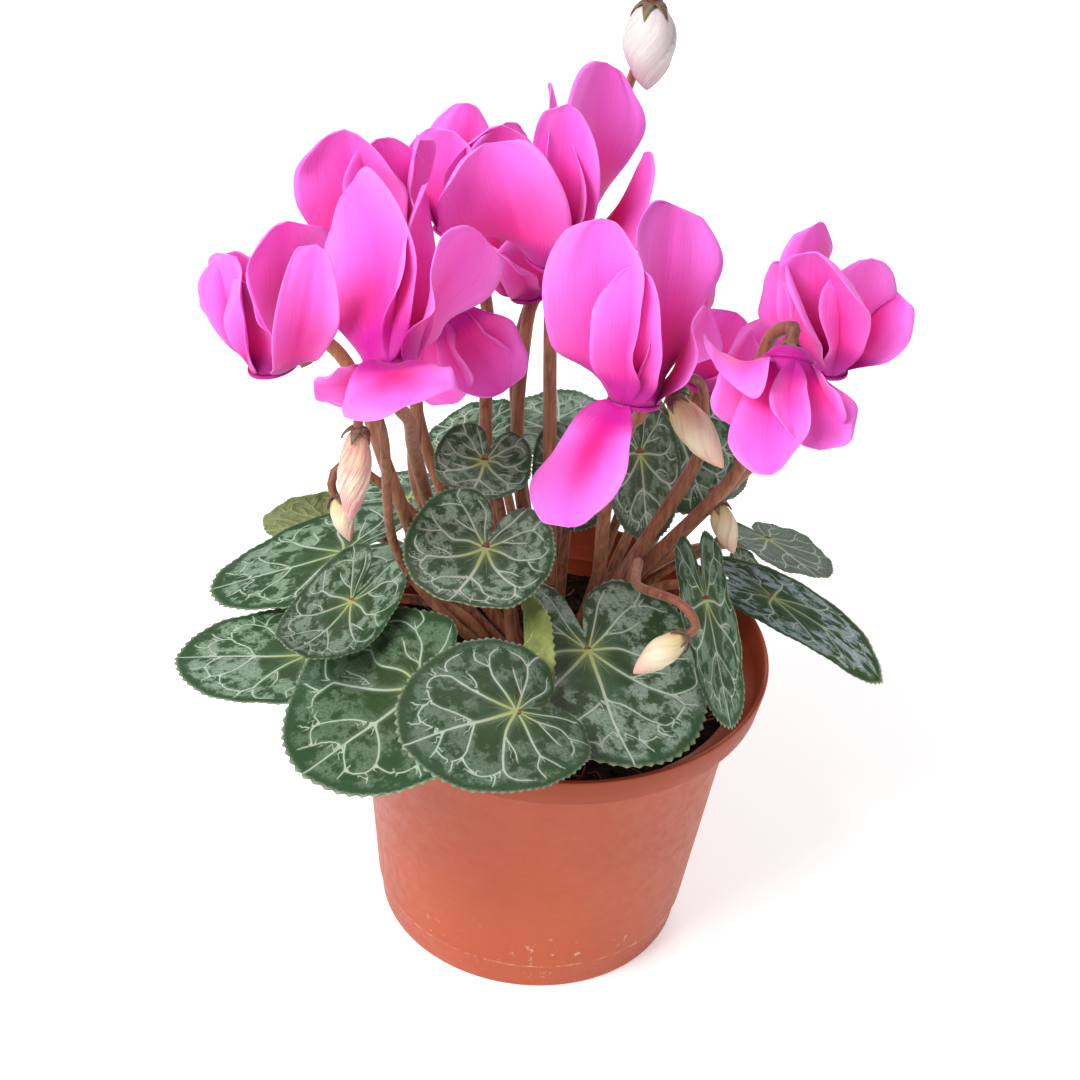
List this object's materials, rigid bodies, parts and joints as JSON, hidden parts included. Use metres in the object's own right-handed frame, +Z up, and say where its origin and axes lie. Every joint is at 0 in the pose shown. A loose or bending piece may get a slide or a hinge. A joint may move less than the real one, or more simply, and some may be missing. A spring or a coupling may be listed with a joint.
{
  "type": "potted cyclamen",
  "caption": "Potted cyclamen: tapered plastic flowerpot with soil, waved heart-shaped leaves, nodding pink flowers with swept-back petals on hooked stalks, and pale twisted buds.",
  "frame": {"origin": "centre of the pot's flat base", "axes": "+Z up along the pot's axis; -Y towards the side with the lowest leaves and the forward flowers; +X to the right of that side"},
  "size_m": [0.1887, 0.1872, 0.2767],
  "materials": {
    "pot_plastic": "satin terracotta colour with pale scuffs",
    "soil": "loose dark peat with crumbs and fibres",
    "stalk": "matt reddish brown, finely haired",
    "leaf": "slightly glossy dark green with silver-green marbling",
    "petal": "soft thin pink petals, darker at the mouth",
    "bud": "soft pale cream, tipped with pink"
  },
  "bodies": {
    "root": {"pot": "pot_plastic", "soil": "soil", "crown": "stalk", "leaf_01": "leaf", "leaf_02": "leaf", "leaf_03": "leaf", "leaf_04": "leaf", "leaf_05": "leaf", "leaf_06": "leaf", "leaf_07": "leaf", "leaf_08": "leaf", "leaf_09": "leaf", "leaf_10": "leaf", "leaf_11": "leaf", "leaf_12": "leaf", "leaf_13": "leaf", "leaf_14": "leaf", "leaf_15": "leaf", "leaf_16": "leaf", "leaf_17": "leaf", "leaf_18": "leaf", "leaf_19": "leaf", "leaf_20": "leaf", "bloom_01": "petal", "bloom_02": "petal", "bloom_03": "petal", "bloom_04": "petal", "bloom_05": "petal", "bloom_06": "petal", "bloom_07": "petal", "bloom_08": "petal", "bloom_09": "petal", "bloom_10": "petal", "bloom_11": "petal", "bud_01": "bud", "bud_02": "bud", "bud_03": "bud", "bud_04": "bud", "bud_05": "bud", "bud_06": "bud"}
  },
  "joints": []
}
